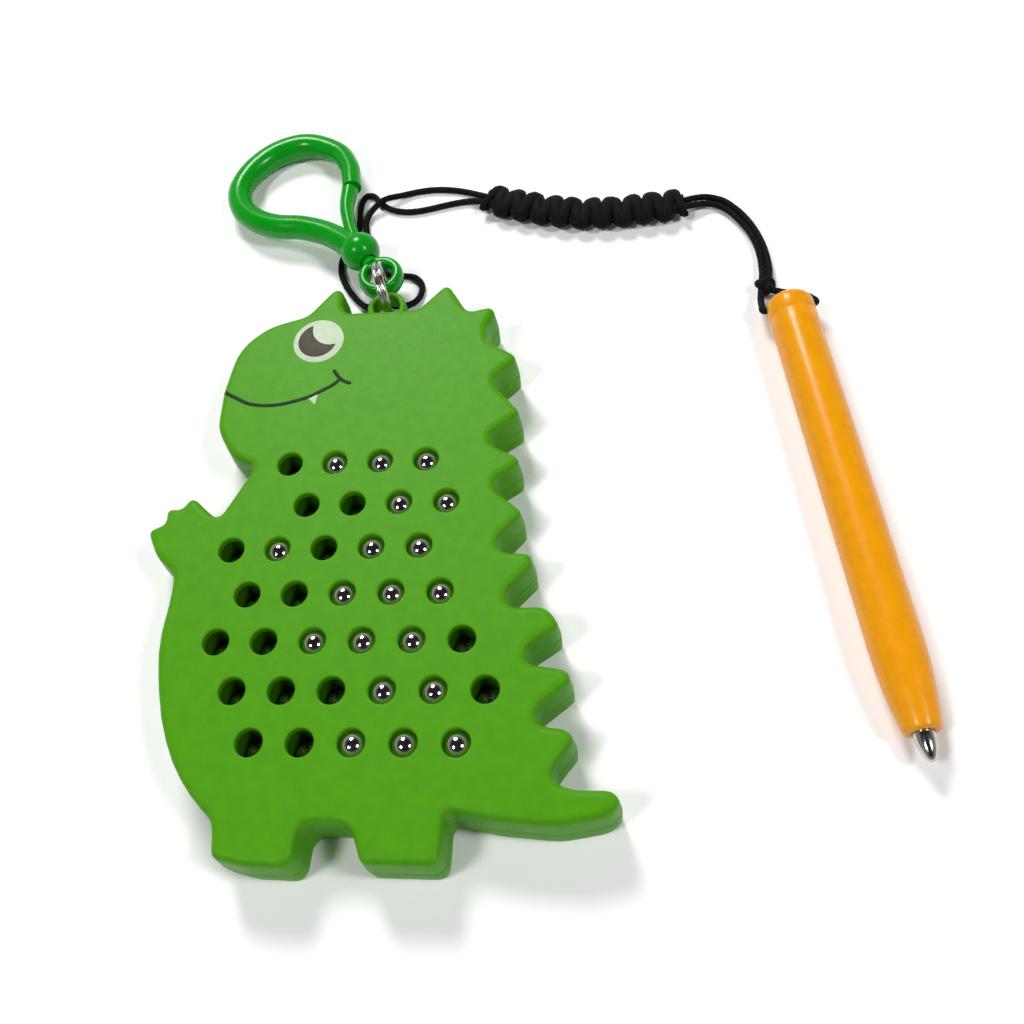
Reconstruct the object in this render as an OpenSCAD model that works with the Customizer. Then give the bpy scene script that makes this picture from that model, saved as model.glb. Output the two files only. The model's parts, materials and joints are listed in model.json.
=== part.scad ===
// Drawing-board keychain: a flat creature-shaped board of steel balls that a magnetic pen draws up,
// with a split ring, a swivel clip, and a pen on a braided cord. Origin: centre of the ball grid on
// the back face. +Z out of the face, +Y towards the head. Millimetres.

/* [Board] */
// Thickness of the board, front to back
board_t = 10.6; // [10:0.2:11.2]
// Thickness of the face plate around the balls
face_t = 1.4; // [1:0.1:1.6]
// Thickness of the back plate
back_t = 1.5; // [1:0.1:2]
// Thickness of the side walls
wall_t = 1.6; // [1.2:0.1:2]

/* [Balls] */
// Diameter of a steel ball
ball_d = 4.76; // [4.7:0.01:4.78]
// Diameter of a ball's window in the face
window_d = 4.4; // [4.2:0.05:4.5]
// Diameter of the bore that a ball slides in
cell_d = 4.96; // [4.9:0.02:5.1]
// Distance between balls along a row
pitch_x = 8; // [7.9:0.05:8.1]
// Distance between rows
pitch_y = 8.1; // [7.9:0.05:8.2]

/* [Lug and split ring] */
// Radius of the hole in the lug
lug_hole_r = 2.5; // [2.3:0.1:2.6]
// Outer radius of the lug
lug_r = 3.7; // [3.5:0.1:3.8]
// Wire diameter of the split ring
ring_wire_d = 1; // [0.8:0.1:1]
// Mean radius of the split ring
ring_r = 5.6; // [5.5:0.05:5.7]

/* [Swivel clip] */
// Radius of the hole in the swivel eye
eye_hole_r = 2.3; // [2.2:0.1:2.4]
// Outer radius of the swivel eye
eye_r = 4.45; // [4.2:0.05:4.5]
// Thickness of the swivel eye
eye_t = 3.6; // [3.2:0.2:3.8]
// Radius of the ball-shaped collar
collar_r = 3.9; // [3.5:0.1:3.9]
// Radius of the clip's round bar
clip_bar_r = 2.3; // [2.1:0.05:2.35]
// Radius of the gate's round bar
gate_bar_r = 1.25; // [1.1:0.05:1.25]
// Tilt of the clip down towards its far end, in degrees
clip_tilt = 3.5; // [2.5:0.5:3.5]

/* [Pen] */
// Diameter of the pen's barrel
pen_d = 8.5; // [8.2:0.1:8.6]
// Length of the pen from the cap to the metal tip
pen_l = 85.6; // [84:0.2:88]

/* [Cord] */
// Diameter of the cord
cord_d = 1.3; // [1.2:0.05:1.3]
// Width of the braid
braid_w = 8; // [7.4:0.2:8]

/* [Hidden] */
ball_count = 35;
function ball_name(i) = str("ball_", i < 9 ? "0" : "", i + 1);

eps = 0.01;
shell_green = "yellowgreen";
clip_green = "green";
pen_yellow = "orange";
cord_black = "black";

// Outline of the board: corner x, corner y, corner radius, anticlockwise from the horn
outline_corners = [
    [-2.6, 65.4, 1.5], [-9.2, 56.8, 2.5], [-16.2, 54.9, 11], [-21.6, 50.2, 10], [-23.1, 40.5, 18],
    [-23, 32.4, 8], [-19.4, 26.5, 6], [-14.7, 24.3, 0.8], [-19.6, 14.4, 0.9], [-22.4, 16.8, 5],
    [-25, 19.2, 1.1], [-26.6, 16.6, 0.9], [-29.4, 16.8, 1], [-29.1, 13.8, 0.6], [-32.1, 12.5, 1.1],
    [-29.4, 7, 8], [-25.8, 4.6, 3.5], [-25.6, -1, 20], [-26.4, -8, 28], [-23.6, -20.2, 40],
    [-18.9, -30.2, 30], [-12.2, -36, 3], [-11.6, -41.2, 1.6], [-6.5, -42.3, 8], [1.1, -42.5, 2],
    [1.5, -36.1, 1.9], [8.8, -36.1, 2.6], [10.9, -41.8, 1.4], [22.7, -41.9, 1.8], [22.9, -34.2, 0.9],
    [30, -35.6, 12], [39, -36.3, 12], [46.4, -34.9, 4], [48.6, -32.5, 1.4], [46.8, -30.7, 2],
    [41, -30.7, 4], [38.5, -29.6, 1.2], [38.4, -28.1, 1.2], [41.8, -23.7, 1.2], [40.5, -22, 1.5],
    [35.8, -21.3, 1.3], [35.8, -19.3, 1.2], [41.2, -14.9, 1.2], [40.3, -12.8, 1.6],
    [34.1, -11.9, 1.4], [34.1, -9.7, 1.3], [39.5, -6, 1.3], [37, -2.5, 3], [30.7, -2.6, 1.4],
    [30.7, -0.2, 1.4], [35, 4.4, 1], [34.3, 6.6, 1], [29, 7, 1.5], [29, 9.2, 1.4], [33.3, 13.8, 1.3],
    [28, 18.3, 1.3], [28, 20.1, 1.2], [33.3, 23.6, 1.4], [26.9, 27.3, 1.4], [26.9, 29.2, 1.2],
    [32.4, 33, 1.3], [27.2, 39.2, 1.4], [27.3, 40.8, 1.2], [31.7, 44.9, 1.3], [25.4, 48.9, 1.6],
    [25.4, 52.2, 1.5], [27.7, 57, 1.3], [21.6, 55.7, 1.4], [17.4, 62.9, 1.3], [12, 56.9, 1.5],
    [-2.2, 57, 1.8]];

// Balls: column and row on the grid, and 1 where the ball is drawn up to the face
ball_cells = [
    [-1, 3, 0], [0, 3, 1], [1, 3, 1], [2, 3, 1],
    [-0.5, 2, 0], [0.5, 2, 0], [1.5, 2, 1], [2.5, 2, 1],
    [-2, 1, 0], [-1, 1, 1], [0, 1, 0], [1, 1, 1], [2, 1, 1],
    [-1.5, 0, 0], [-0.5, 0, 0], [0.5, 0, 1], [1.5, 0, 1], [2.5, 0, 1],
    [-2, -1, 0], [-1, -1, 0], [0, -1, 1], [1, -1, 1], [2, -1, 1], [3, -1, 0],
    [-1.5, -2, 0], [-0.5, -2, 0], [0.5, -2, 0], [1.5, -2, 1], [2.5, -2, 1], [3.5, -2, 0],
    [-1, -3, 0], [0, -3, 0], [1, -3, 1], [2, -3, 1], [3, -3, 1]];

part_z = board_t / 2;
magnet_t = 0.7;
inner_gap = 0.25;
face_z = board_t - face_t;
cell_top_z = face_z - magnet_t;
ball_r = ball_d / 2;
window_r = window_d / 2;
cell_r = cell_d / 2;
// A raised ball rests in the window's lower edge, a lowered one on the back plate
ball_up_z = face_z - sqrt(ball_r * ball_r - window_r * window_r);
ball_down_z = back_t + ball_r;
tube_r = cell_r + 0.75;
web_t = 1.2;

lug_at = [5.2, 60, 3.5];
lug_t = 3.8;
ring_at = [4.1, 64.3, 6.2];
ring_turn = 105;
coil_step = 0.96;

eye_at = [3, 68.5, 5.5];
collar_at = [-1.9, 75.5, 5.5];
clip_turn = 125;
shank_r = 1.4;
shank_bore_r = 1.46;
shank_head_r = 2.1;
shank_head_room_r = 2.18;
shank_head_low = -0.8;
shank_head_high = 1.1;
shank_end_gap = 0.1;
gate_hinge = [4.6, -0.85];
gate_tip_r = 1.4;
gate_slot_from = 3.2;
gate_slot_to = 10;
gate_slot_edge = 0.9;

pen_at = [79.15, 59.4, pen_d / 2];
pen_turn = -81.25;
pen_r = pen_d / 2;
pen_wall_t = 1.6;
dome_l = 2.8;
cap_l = 5;
cord_hole_r = 0.9;
cord_hole_s = 2.6;
tip_l = 4.4;
tip_r = 1.65;
tip_collar_l = 0.6;
nose_l = 15;
nose_r = 2.75;
barrel_l = pen_l - tip_l;
shoulder_l = barrel_l - nose_l;
// The barrel's bore starts this far past the cap and stops this far short of the taper
bore_gap = 2;
magnet_l = 6;
magnet_r = 1.5;

cord_r = cord_d / 2;
cord_sides = 8;
clip_sides = 16;
low = 0.65;

// Corner arc of an outline: the corner b between its neighbours a and c, with radius b[2].
// Wide arcs get finer steps.
function unit(v) = v / norm(v);
function xy(p) = [p[0], p[1]];
function corner_arc(a, b, c) =
    let (u = unit(xy(a) - xy(b)),
         v = unit(xy(c) - xy(b)),
         half = acos(u * v) / 2,
         centre = xy(b) + unit(u + v) * b[2] / sin(half),
         from = xy(b) + u * b[2] / tan(half) - centre,
         to = xy(b) + v * b[2] / tan(half) - centre,
         a0 = atan2(from[1], from[0]),
         sweep = (atan2(to[1], to[0]) - a0 + 540) % 360 - 180,
         step = b[2] < 5 ? 20 : 6,
         steps = max(1, round(abs(sweep) / step)))
    [for (k = [0 : steps]) centre + b[2] * [cos(a0 + sweep * k / steps), sin(a0 + sweep * k / steps)]];
function rounded_outline(corners) =
    let (n = len(corners))
    [for (i = [0 : n - 1]) each corner_arc(corners[(i + n - 1) % n], corners[i], corners[(i + 1) % n])];

// Closed tube along a route: rings of points across the route, sized by radii [side, up]
function tangent(route, i) = unit(route[min(i + 1, len(route) - 1)] - route[max(i - 1, 0)]);
function ring_points(centre, ahead, radii, sides) =
    let (side = unit(cross(ahead, [0, 0, 1])),
         up = cross(side, ahead))
    [for (k = [0 : sides - 1])
        centre + side * radii[0] * cos(360 * k / sides) + up * radii[1] * sin(360 * k / sides)];

module tube(route, radii, sides) {
    rings = len(route);
    points = [for (i = [0 : rings - 1]) each ring_points(route[i], tangent(route, i), radii[i], sides)];
    walls = [for (i = [0 : rings - 2], k = [0 : sides - 1])
        let (next = (k + 1) % sides)
        [i * sides + k, i * sides + next, (i + 1) * sides + next, (i + 1) * sides + k]];
    first = [for (k = [0 : sides - 1]) sides - 1 - k];
    last = [for (k = [0 : sides - 1]) (rings - 1) * sides + k];
    polyhedron(points = points, faces = concat([first], walls, [last]), convexity = 6);
}

module cord(route) {
    tube(route, [for (p = route) [cord_r, cord_r]], cord_sides);
}

// Smooth curve through the points of a route, with the given steps between points
function curve_point(a, b, c, d, t) =
    0.5 * (2 * b + (c - a) * t + (2 * a - 5 * b + 4 * c - d) * t * t + (3 * b - a - 3 * c + d) * t * t * t);
function smooth_route(p, steps) =
    let (n = len(p))
    concat(
        [for (i = [0 : n - 2], k = [0 : steps - 1])
            curve_point(p[max(i - 1, 0)], p[i], p[i + 1], p[min(i + 2, n - 1)], k / steps)],
        [p[n - 1]]);

// Board

module board_outline(inset) {
    offset(delta = -inset) polygon(rounded_outline(outline_corners));
}

module at_cells() {
    for (cell = ball_cells) translate([cell[0] * pitch_x, cell[1] * pitch_y, 0]) children();
}

module front_shell() {
    color(shell_green) difference() {
        translate([0, 0, part_z]) linear_extrude(board_t - part_z) board_outline(0);
        translate([0, 0, part_z - 1]) linear_extrude(face_z - part_z + 1) board_outline(wall_t);
        at_cells() translate([0, 0, part_z]) cylinder(h = board_t, r = window_r, $fn = 48);
    }
}

module lug() {
    difference() {
        translate(lug_at) cylinder(h = lug_t, r = lug_r, $fn = 48);
        translate([0, 0, part_z]) linear_extrude(board_t) board_outline(-eps);
        linear_extrude(board_t) board_outline(wall_t / 2);
    }
}

module back_shell() {
    color(shell_green) difference() {
        union() {
            linear_extrude(part_z) board_outline(0);
            lug();
        }
        translate([0, 0, back_t]) linear_extrude(board_t) board_outline(wall_t);
        translate([lug_at[0], lug_at[1], lug_at[2] - 1]) cylinder(h = lug_t + 2, r = lug_hole_r, $fn = 48);
    }
}

module ball_guide() {
    color(shell_green) difference() {
        union() {
            translate([0, 0, part_z]) linear_extrude(web_t) board_outline(wall_t + inner_gap);
            at_cells() translate([0, 0, back_t]) cylinder(h = cell_top_z - back_t, r = tube_r, $fn = 48);
        }
        at_cells() cylinder(h = board_t, r = cell_r, $fn = 48);
    }
}

module magnet_sheet() {
    color("dimgray") difference() {
        translate([0, 0, cell_top_z]) linear_extrude(magnet_t) board_outline(wall_t + inner_gap);
        at_cells() cylinder(h = board_t, r = cell_r, $fn = 48);
    }
}

module ball(i) {
    cell = ball_cells[i];
    z = cell[2] == 1 ? ball_up_z : ball_down_z;
    color("silver") translate([cell[0] * pitch_x, cell[1] * pitch_y, z]) sphere(r = ball_r, $fn = 48);
}

// Split ring, standing upright through the lug and the swivel eye

module split_ring() {
    color("silver") translate(ring_at) rotate([0, 0, ring_turn]) rotate([90, 0, 0]) rotate_extrude($fn = 72)
        translate([ring_r, 0]) union() {
            for (side = [-0.5, 0.5]) translate([0, side * coil_step]) circle(d = ring_wire_d, $fn = 24);
        }
}

// Swivel clip. Its own frame has +X along the clip from the collar, +Y to the wide side, +Z up.

module clip_frame() {
    translate(collar_at) rotate([0, 0, clip_turn]) rotate([0, clip_tilt, 0]) children();
}

module along_clip(from, to, r) {
    translate([from, 0, 0]) rotate([0, 90, 0]) cylinder(h = to - from, r = r, $fn = 48);
}

module swivel_eye() {
    eye_offset = norm(xy(eye_at) - xy(collar_at));
    color(clip_green) union() {
        difference() {
            union() {
                translate(eye_at - [0, 0, eye_t / 2]) cylinder(h = eye_t, r = eye_r, $fn = 64);
                clip_frame() along_clip(-eye_offset + eye_hole_r + 1, shank_head_low, shank_r);
            }
            translate(eye_at - [0, 0, eye_t]) cylinder(h = 2 * eye_t, r = eye_hole_r, $fn = 48);
        }
        clip_frame() along_clip(shank_head_low, shank_head_high, shank_head_r);
    }
}

// Centre line of the hook, and its radius at each point as a share of the bar's
hook_line = [[2, 0.9], [5.4, 1.6], [9.5, 3.1], [14.2, 6.1], [18.2, 10], [22.8, 12.7], [28, 13.5],
    [33.2, 11.6], [36.8, 6.4], [38.4, 0], [35.7, -6.4], [29.1, -10.1], [23.4, -9.9], [19.8, -8.5],
    [17.3, -7.3]];
hook_share = [0.95, 1, 1, 1, 1, 1, 1, 1.02, 1.06, 1.08, 1.06, 0.96, 0.87, 0.82, 0.78];
gate_line = [[4.6, -0.85], [8.9, -2.1], [13.1, -3.8], [16.9, -6.4]];

function flat(points) = [for (p = points) [p[0], p[1], 0]];

module gate_slot() {
    translate([gate_slot_from, -2 * collar_r, -collar_r])
        cube([gate_slot_to - gate_slot_from, 2 * collar_r + gate_slot_edge, 2 * collar_r]);
}

module clip_hook() {
    steps = 4;
    shares = smooth_route([for (share = hook_share) [share, 0, 0]], steps);
    radii = [for (share = shares) clip_bar_r * [share[0], share[0]]];
    color(clip_green) clip_frame() difference() {
        union() {
            sphere(r = collar_r, $fn = 64);
            tube(smooth_route(flat(hook_line), steps), radii, clip_sides);
        }
        gate_slot();
        along_clip(-2 * collar_r, shank_head_low, shank_bore_r);
        along_clip(shank_head_low - shank_end_gap, shank_head_high + shank_end_gap, shank_head_room_r);
    }
}

module clip_gate() {
    route = smooth_route(flat(gate_line), 4);
    last = len(route) - 1;
    radii = [for (i = [0 : last]) (gate_bar_r + (gate_tip_r - gate_bar_r) * i / last) * [1, 1]];
    color(clip_green) clip_frame() union() {
        tube(route, radii, clip_sides);
        translate([gate_hinge[0], gate_hinge[1], -gate_bar_r])
            cylinder(h = 2 * gate_bar_r, r = gate_bar_r, $fn = 32);
    }
}

// Pen. Its own frame has +X along the pen from the cap to the metal tip.

module pen_frame() {
    translate(pen_at) rotate([0, 0, pen_turn]) children();
}

module pen_turned(profile) {
    rotate([0, 90, 0]) rotate_extrude($fn = 64) polygon(profile);
}

module along_pen(from, to, r) {
    translate([from, 0, 0]) rotate([0, 90, 0]) cylinder(h = to - from, r = r, $fn = 48);
}

module pen_cap() {
    dome = [for (k = [0 : 10]) [pen_r * sin(9 * k), dome_l * (1 - cos(9 * k))]];
    color(pen_yellow) pen_frame() difference() {
        pen_turned(concat(dome, [[pen_r, cap_l], [0, cap_l]]));
        translate([cord_hole_s, pen_d, 0]) rotate([90, 0, 0])
            cylinder(h = 2 * pen_d, r = cord_hole_r, $fn = 32);
    }
}

module pen_barrel() {
    nose = [for (k = [1 : 8]) [pen_r - (pen_r - nose_r) * pow(k / 8, 2.1), shoulder_l + nose_l * k / 8]];
    color(pen_yellow) pen_frame() difference() {
        pen_turned(concat([[0, cap_l], [pen_r, cap_l], [pen_r, shoulder_l]], nose, [[0, barrel_l]]));
        along_pen(cap_l + bore_gap, shoulder_l - bore_gap, pen_r - pen_wall_t);
        along_pen(barrel_l - magnet_l, barrel_l + 1, magnet_r);
    }
}

module pen_tip() {
    point = [for (k = [0 : 10])
        [tip_r * sqrt(1 - pow(k / 10, 1.55)),
         barrel_l + tip_collar_l + (tip_l - tip_collar_l) * pow(k / 10, 0.9)]];
    color("silver") pen_frame() pen_turned(concat([[0, barrel_l], [tip_r, barrel_l]], point));
}

module pen_magnet() {
    color("dimgray") pen_frame() along_pen(barrel_l - magnet_l, barrel_l, magnet_r);
}

// Cords. Each route runs from where the cord leaves its piece.

loop_left_route = [[4.2, 64.1, 2.2], [2.2, 64.1, 2], [0.3, 64.5, 1.4], [-1.4, 65.6, 0.8],
    [-3, 67.3, low], [-4.6, 69.5, low], [-5.9, 71.8, low], [-6.8, 74.2, low], [-7.1, 76.8, low],
    [-6.6, 79.5, low], [-5.6, 82.2, low], [-4.7, 84.8, low], [-4.4, 87.4, low], [-4.5, 90, low],
    [-4.4, 92.6, low], [-3.6, 94.6, low], [-2, 94.5, low], [-0.8, 93, low], [0.3, 91.8, low],
    [2.2, 90.4, low], [4.8, 89.6, low], [7.6, 89.5, low], [10.4, 89.9, low], [13.2, 90.5, low],
    [16, 91, low], [18.8, 91.1, 0.8], [21, 90.4, 1.3], [22.6, 89.5, 1.9]];
loop_right_route = [[4.2, 64.1, 2.2], [6.2, 64, 2], [7.8, 64.6, 1.4], [9.2, 65.9, 0.8], [10.1, 67.8, low],
    [10, 70.1, low], [8.6, 71.9, low], [6.4, 72.5, low], [4, 72.8, low], [1.9, 74.3, low],
    [0.3, 76.8, low], [-0.8, 79.6, low], [-1.8, 82.4, low], [-2.7, 85.1, low], [-2.9, 87.4, 0.8],
    [-2.2, 89.3, 1.2], [-1, 90.7, 1.7], [0.3, 91.8, 2], [1.7, 92.8, 1.7], [4.2, 93.9, 1],
    [7, 94.8, low], [9.8, 95.1, low], [12.6, 95, low], [15.4, 94.5, low], [18.1, 93.7, low],
    [20.5, 92.4, 1.1], [22.6, 90.9, 1.9]];
lead_left_route = [[61.9, 84.2, 2.2], [64, 85, 1.8], [66.4, 85.6, 1.2], [68.8, 84.9, 1], [70.9, 82.9, 1],
    [72.6, 80.4, 1], [74, 77.7, 1], [75, 74.7, 1], [75.5, 71.6, 1], [75.6, 68.4, 1.2], [75.4, 65.5, 1.7],
    [75, 62.6, 2], [74.7, 60, 2.6], [74.7, 57.7, 3.6], [75.1, 56.3, 4.2]];
lead_right_route = [[61.9, 85.9, 2.2], [63.9, 86.7, 1.8], [66.4, 87.3, 1.2], [69.4, 86.8, 1],
    [71.9, 84.6, 1], [73.9, 81.7, 1], [75.4, 78.5, 1], [76.5, 75, 1], [77, 71.7, 1], [77.1, 68.4, 1.2],
    [76.8, 65.5, 1.7], [76.8, 62.9, 2], [79.1, 61.7, 2.3], [81.9, 60.6, 3], [83.6, 58.9, 3.8],
    [83.9, 57.5, 4.2]];
braid_route = [[22.6, 90.2, 2.3], [26.4, 88.6, 2.3], [33.3, 86.3, 2.3], [41.4, 84.4, 2.3],
    [49.3, 84.1, 2.3], [57.2, 84.7, 2.3], [61.9, 85.05, 2.3]];
knot_at = [75.8, 63.7, 1.9];
knot_r = 1.9;
braid_bumps = 10;
// The braid's narrowest width between knots, as a share of its width
braid_low_share = 0.8;
braid_h = 4.4;

module loop_cord_left() {
    color(cord_black) cord(loop_left_route);
}

module loop_cord_right() {
    color(cord_black) cord(loop_right_route);
}

module lead_cord_left() {
    color(cord_black) cord(lead_left_route);
}

module lead_cord_right() {
    color(cord_black) cord(lead_right_route);
}

// Row of knots: the section swells and narrows once for each knot
module braid() {
    route = smooth_route(braid_route, 10);
    last = len(route) - 1;
    swell = [for (i = [0 : last])
        braid_low_share + (1 - braid_low_share) * abs(sin(180 * braid_bumps * i / last))];
    color(cord_black) tube(route, [for (s = swell) [braid_w / 2 * s, braid_h / 2 * s]], 12);
}

module pen_knot() {
    color(cord_black) translate(knot_at) sphere(r = knot_r, $fn = 32);
}

front_shell();
back_shell();
ball_guide();
magnet_sheet();
split_ring();
swivel_eye();
clip_hook();
clip_gate();
pen_barrel();
pen_cap();
pen_tip();
pen_magnet();
loop_cord_left();
loop_cord_right();
braid();
lead_cord_left();
lead_cord_right();
pen_knot();
for (i = [0 : ball_count - 1]) ball(i);
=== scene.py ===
"""Drawing-board keychain: a creature-shaped board of steel balls with a swivel clip and a corded pen.

Everything is in metres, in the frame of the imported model: +Z out of the board's face, +Y to its head.
"""

import json
import math

import bmesh
import bpy
import numpy as np
from bpy.props import FloatProperty, FloatVectorProperty, IntProperty, PointerProperty
from bpy.types import Operator, Panel, PropertyGroup
from mathutils import Matrix, Vector
from mathutils.geometry import delaunay_2d_cdt


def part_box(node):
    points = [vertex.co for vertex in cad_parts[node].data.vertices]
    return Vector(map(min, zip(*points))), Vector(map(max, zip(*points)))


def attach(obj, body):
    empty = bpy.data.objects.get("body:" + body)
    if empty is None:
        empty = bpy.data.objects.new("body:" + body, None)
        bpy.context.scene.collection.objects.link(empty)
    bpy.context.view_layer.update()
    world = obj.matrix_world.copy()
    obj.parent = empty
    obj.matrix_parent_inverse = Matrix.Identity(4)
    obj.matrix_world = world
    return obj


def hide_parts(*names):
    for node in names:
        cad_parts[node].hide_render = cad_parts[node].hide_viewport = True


bl_info = {
    "name": "Drawing-Board Keychain",
    "version": (1, 0, 0),
    "blender": (4, 5, 0),
    "location": "View3D > Sidebar > Keychain",
    "description": "Builds the board, balls, ring, clip, cords and pen of a drawing-board keychain",
    "category": "Add Mesh",
}

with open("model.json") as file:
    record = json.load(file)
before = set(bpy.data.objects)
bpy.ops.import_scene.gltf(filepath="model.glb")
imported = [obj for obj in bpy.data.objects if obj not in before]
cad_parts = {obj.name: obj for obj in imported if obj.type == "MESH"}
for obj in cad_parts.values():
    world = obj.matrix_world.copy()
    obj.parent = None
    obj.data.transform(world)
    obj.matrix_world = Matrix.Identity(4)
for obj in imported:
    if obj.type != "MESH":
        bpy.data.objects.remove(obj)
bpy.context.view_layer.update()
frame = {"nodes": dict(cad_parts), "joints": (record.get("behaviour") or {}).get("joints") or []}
JOINTS = {joint["name"]: joint for joint in frame["joints"]}

MM = 0.001
BALL_NODES = sorted(name for name in frame["nodes"] if name.startswith("ball_") and name != "ball_guide")

# Heights of the board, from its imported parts
BOARD_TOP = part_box("front_shell")[1].z
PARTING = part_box("front_shell")[0].z
FACE_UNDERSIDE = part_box("magnet_sheet")[1].z
BACK_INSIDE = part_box("ball_guide")[0].z


# ---------------------------------------------------------------- mesh making

def add_mesh(name, verts, faces, sharp_angle=40.0):
    """A smooth-shaded mesh object whose edges steeper than sharp_angle, in degrees, stay crisp."""
    mesh = bpy.data.meshes.new(name)
    mesh.from_pydata([tuple(map(float, v)) for v in verts], [], [tuple(map(int, f)) for f in faces])
    mesh.validate()
    mesh.polygons.foreach_set("use_smooth", [True] * len(mesh.polygons))
    mesh.set_sharp_from_angle(angle=math.radians(sharp_angle))
    obj = bpy.data.objects.new(name, mesh)
    bpy.context.scene.collection.objects.link(obj)
    return obj


def placed(verts, matrix):
    """Points moved by a 4x4 matrix."""
    turn = np.array(matrix.to_3x3())
    return np.asarray(verts, float) @ turn.T + np.array(matrix.translation)


def merged(parts):
    """One (verts, faces) from several."""
    verts, faces, count = [], [], 0
    for part_verts, part_faces in parts:
        verts.append(np.asarray(part_verts, float))
        faces += [tuple(i + count for i in face) for face in part_faces]
        count += len(part_verts)
    return np.vstack(verts), faces


def unit(vectors):
    """Rows scaled to length one."""
    return vectors / np.linalg.norm(vectors, axis=1)[:, None]


def run_length(points):
    """Length along a line of points, at each of them."""
    return np.concatenate([[0], np.cumsum(np.linalg.norm(np.diff(points, axis=0), axis=1))])


def standing(at):
    """Place for a turned piece whose axis stands upright at a point."""
    return Matrix.Translation(at) @ Matrix.Rotation(math.radians(-90), 4, "Y")


def smooth_curve(points, steps):
    """Points of a Catmull-Rom curve through the given ones, with the given steps between each two."""
    p = np.asarray(points, float)
    ends = np.vstack([2 * p[0] - p[1], p, 2 * p[-1] - p[-2]])
    out = []
    for i in range(len(p) - 1):
        a, b, c, d = ends[i:i + 4]
        for t in np.arange(steps) / steps:
            out.append(0.5 * (2 * b + (c - a) * t + (2 * a - 5 * b + 4 * c - d) * t ** 2
                              + (3 * b - a - 3 * c + d) * t ** 3))
    return np.array(out + [p[-1]])


def even_curve(points, spacing):
    """The smooth curve through points, cut into equal steps of about the given length."""
    fine = smooth_curve(points, 24)
    along = run_length(fine)
    at = np.linspace(0, along[-1], max(2, int(round(along[-1] / spacing)) + 1))
    return np.stack([np.interp(at, along, fine[:, k]) for k in range(fine.shape[1])], 1)


def sweep(path, radii, sides, up=(0, 0, 1), swell=None, rounded=(False, False)):
    """Closed tube along a path. radii holds (side, up) for each point; up is one direction or one each."""
    path, sizes = np.asarray(path, float), np.asarray(radii, float)
    ahead = unit(np.gradient(path, axis=0))
    up = np.broadcast_to(np.asarray(up, float), path.shape)
    cap = np.radians([80, 68, 54, 36, 18])
    for end in (0, -1):
        if not rounded[end]:
            continue
        out = (ahead[-1] if end else -ahead[0]) * sizes[end].min()
        extra = path[end] + np.sin(cap)[:, None] * out
        shrink = np.cos(cap)[:, None] * sizes[end]
        ahead_more, up_more = np.repeat(ahead[end:][:1], 5, 0), np.repeat(up[end:][:1], 5, 0)
        order = slice(None, None, -1 if end else 1)
        groups = ((path, extra), (sizes, shrink), (ahead, ahead_more), (up, up_more))
        joined = [np.vstack([old, new[order]] if end else [new[order], old]) for old, new in groups]
        path, sizes, ahead, up = joined
    across = unit(np.cross(ahead, up))
    above = np.cross(across, ahead)
    angle = np.arange(sides) * 2 * math.pi / sides
    scale = np.ones((len(path), sides)) if swell is None else swell(len(path), angle)
    ring = (path[:, None]
            + across[:, None] * (sizes[:, :1] * scale * np.cos(angle))[..., None]
            + above[:, None] * (sizes[:, 1:] * scale * np.sin(angle))[..., None])
    count = len(path)
    faces = [(i * sides + k, i * sides + (k + 1) % sides,
              (i + 1) * sides + (k + 1) % sides, (i + 1) * sides + k)
             for i in range(count - 1) for k in range(sides)]
    faces.append(tuple(range(sides))[::-1])
    faces.append(tuple((count - 1) * sides + k for k in range(sides)))
    return ring.reshape(-1, 3), [face[::-1] for face in faces]


def turned(profile, sides, closed=False):
    """Solid of revolution about X from (x, radius) points; a closed profile makes a ring."""
    profile = np.asarray(profile, float)
    angle = np.arange(sides) * 2 * math.pi / sides
    ring = np.stack([np.repeat(profile[:, :1], sides, 1), profile[:, 1:] * np.cos(angle),
                     profile[:, 1:] * np.sin(angle)], -1)
    count = len(profile)
    last = count if closed else count - 1
    faces = [(i * sides + k, (i + 1) % count * sides + k, (i + 1) % count * sides + (k + 1) % sides,
              i * sides + (k + 1) % sides) for i in range(last) for k in range(sides)]
    if not closed:
        faces.append(tuple(range(sides)))
        faces.append(tuple((count - 1) * sides + k for k in range(sides))[::-1])
    return ring.reshape(-1, 3), faces


def dome(x0, r0, x1, r1, steps):
    """Quarter-ellipse profile from (x0, r0) to (x1, r1) that leaves its start along the radius."""
    angles = [math.pi / 2 * k / steps for k in range(steps + 1)]
    return [(x0 + (x1 - x0) * (1 - math.cos(a)), r0 + (r1 - r0) * math.sin(a)) for a in angles]


def weld_and_face_out(obj):
    """Joins the points that coincide and turns every face outward."""
    bm = bmesh.new()
    bm.from_mesh(obj.data)
    bmesh.ops.remove_doubles(bm, verts=bm.verts, dist=2e-6)
    bmesh.ops.recalc_face_normals(bm, faces=bm.faces)
    bm.to_mesh(obj.data)
    bm.free()
    obj.data.set_sharp_from_angle(angle=math.radians(50))


def finish_piece(obj, material, body, replaces=()):
    """Gives a piece its material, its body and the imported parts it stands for."""
    obj.data.materials.clear()
    obj.data.materials.append(material)
    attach(obj, body)
    if replaces:
        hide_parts(*replaces)
    return obj


# ---------------------------------------------------------------- flat outlines

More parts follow.
